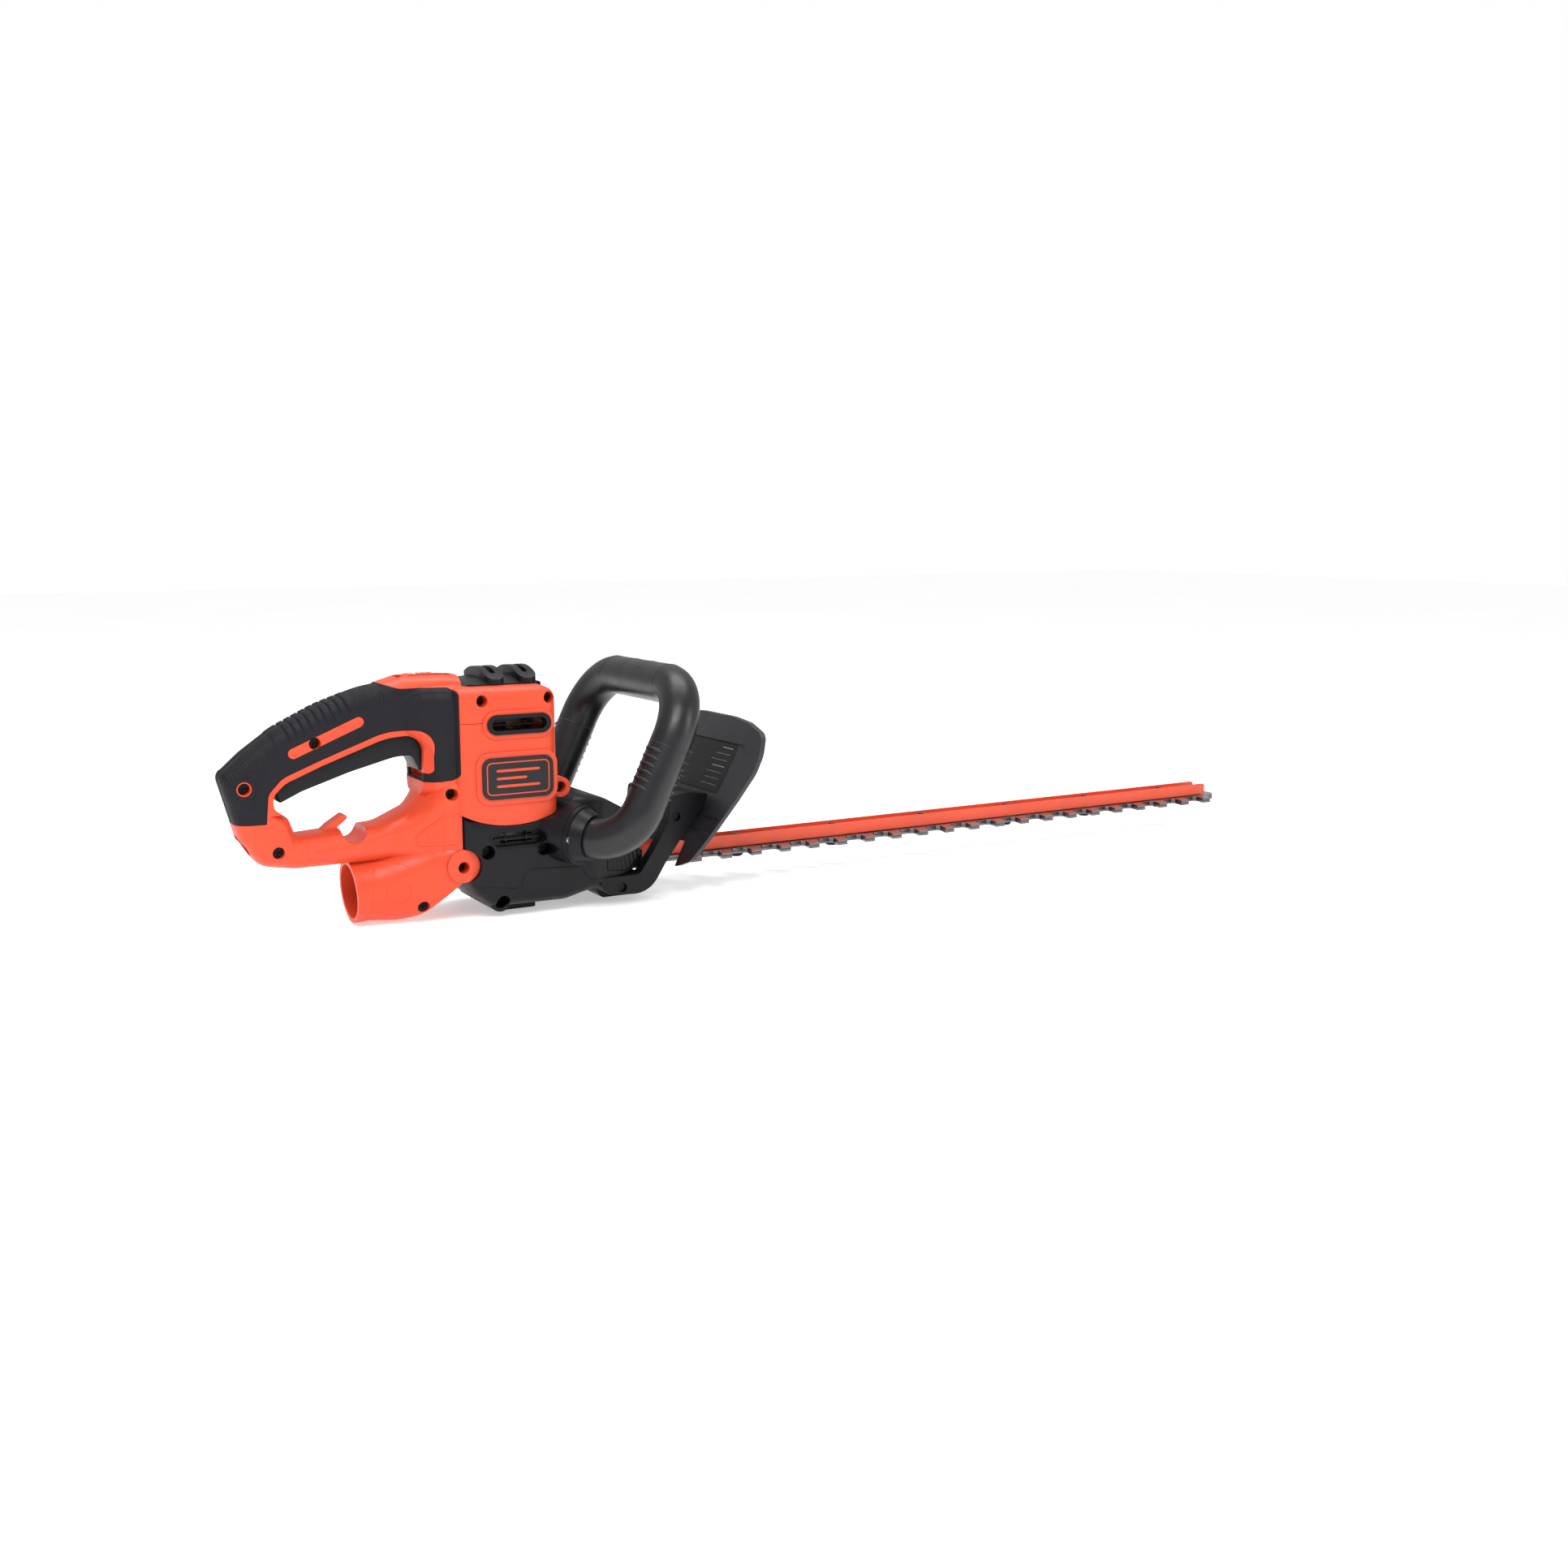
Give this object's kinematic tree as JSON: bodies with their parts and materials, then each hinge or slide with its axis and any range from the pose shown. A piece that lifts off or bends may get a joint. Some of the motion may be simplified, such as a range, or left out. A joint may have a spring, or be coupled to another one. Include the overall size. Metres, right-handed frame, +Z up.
{
  "type": "hedge trimmer",
  "caption": "Corded hedge trimmer with closed rear handle, wrap-around bail handle, guard and a double-sided reciprocating blade.",
  "frame": {"origin": "on the flat underside of the gearcase's base cover, midway across, where the tool rests", "axes": "+X forward along the blade, +Y to the tool's left, +Z up"},
  "size_m": [0.9201, 0.1974, 0.1808],
  "materials": {
    "orange_shell": "satin moulded plastic",
    "grip_rubber": "soft matte, textured",
    "black_plastic": "satin moulded plastic",
    "handle_plastic": "satin moulded plastic",
    "guard_plastic": "matte moulded plastic",
    "badge": "smooth",
    "blade_steel": "ground steel",
    "channel_paint": "semi-gloss paint",
    "fastener_steel": "darkened steel",
    "plated_steel": "zinc plated",
    "brass": "bare brass",
    "copper": "enamelled copper wire",
    "iron_core": "stacked laminations",
    "insulator": "moulded plastic",
    "nylon": "moulded nylon",
    "carbon": "pressed carbon",
    "frame_alloy": "die cast",
    "gear_steel": "sintered steel"
  },
  "bodies": {
    "housing": {"right_housing": "orange_shell", "left_housing": "orange_shell", "right_grip_overmould": "grip_rubber", "left_grip_overmould": "grip_rubber", "right_gearcase": "black_plastic", "left_gearcase": "black_plastic", "base_cover": "black_plastic", "cover_screws": "fastener_steel", "vent_grilles": "black_plastic", "top_cap": "black_plastic", "right_vent_frame": "black_plastic", "left_vent_frame": "black_plastic", "right_badge_plate": "badge", "left_badge_plate": "badge", "right_bail_leg": "handle_plastic", "left_bail_leg": "handle_plastic", "bail_top_grip": "handle_plastic", "right_handle_collar": "black_plastic", "left_handle_collar": "black_plastic", "handle_screws": "plated_steel", "guard_plate": "guard_plastic", "guard_bracket": "black_plastic", "guard_screws": "fastener_steel", "inlet_insulator": "insulator", "inlet_prongs": "brass", "stator_core": "iron_core", "field_coils": "copper", "upper_motor_bearing": "plated_steel", "lower_motor_bearing": "plated_steel", "motor_end_frame": "black_plastic", "bearing_plate": "frame_alloy", "gear_bush": "brass", "brush_holders": "brass", "brushes": "carbon", "brush_springs": "plated_steel", "blade_support": "channel_paint", "blade_bolts": "fastener_steel", "blade_sleeves": "plated_steel", "blade_nuts": "plated_steel", "housing_screws": "fastener_steel", "gearcase_screws": "fastener_steel", "trigger_pin": "plated_steel", "switch_body": "nylon", "trigger_spring": "plated_steel"},
    "trigger": {"trigger": "black_plastic"},
    "lock_button": {"lock_button": "orange_shell"},
    "armature": {"armature_shaft": "plated_steel", "armature_core": "iron_core", "armature_windings": "copper", "commutator": "copper", "motor_fan": "nylon", "pinion": "gear_steel"},
    "drive_gear": {"drive_gear": "gear_steel", "gear_shaft": "plated_steel", "upper_cam": "gear_steel", "lower_cam": "gear_steel"},
    "upper_blade": {"upper_blade": "blade_steel"},
    "lower_blade": {"lower_blade": "blade_steel"}
  },
  "joints": [
    {"name": "trigger_pull", "type": "hinge", "parent": "housing", "child": "trigger", "pos_m": [-0.16, 0, 0.113], "axis": [0, -1, 0], "range_deg": [0, 3.5], "stiffness_Nm_per_rad": 4, "springref_deg": -5.73, "deforming": ["trigger_spring"]},
    {"name": "lock_slide", "type": "slide", "parent": "housing", "child": "lock_button", "axis": [1, 0, 0], "range_m": [0, 0.004], "stiffness_N_per_m": 250, "springref_m": -0.004},
    {"name": "armature_spin", "type": "hinge", "parent": "housing", "child": "armature", "pos_m": [-0.013, 0, 0.1], "axis": [0, 0, 1], "continuous": true},
    {"name": "gear_spin", "type": "hinge", "parent": "housing", "child": "drive_gear", "pos_m": [0.018, 0, 0.038], "axis": [0, 0, 1], "continuous": true},
    {"name": "upper_blade_slide", "type": "slide", "parent": "housing", "child": "upper_blade", "axis": [1, 0, 0], "range_m": [-0.00675, 0.00675]},
    {"name": "lower_blade_slide", "type": "slide", "parent": "housing", "child": "lower_blade", "axis": [1, 0, 0], "range_m": [-0.00675, 0.00675]}
  ],
  "couplings": [
    {"joint": "gear_spin", "follows": "armature_spin", "ratio": -0.19231},
    {"joint": "lower_blade_slide", "follows": "upper_blade_slide", "ratio": -1}
  ]
}
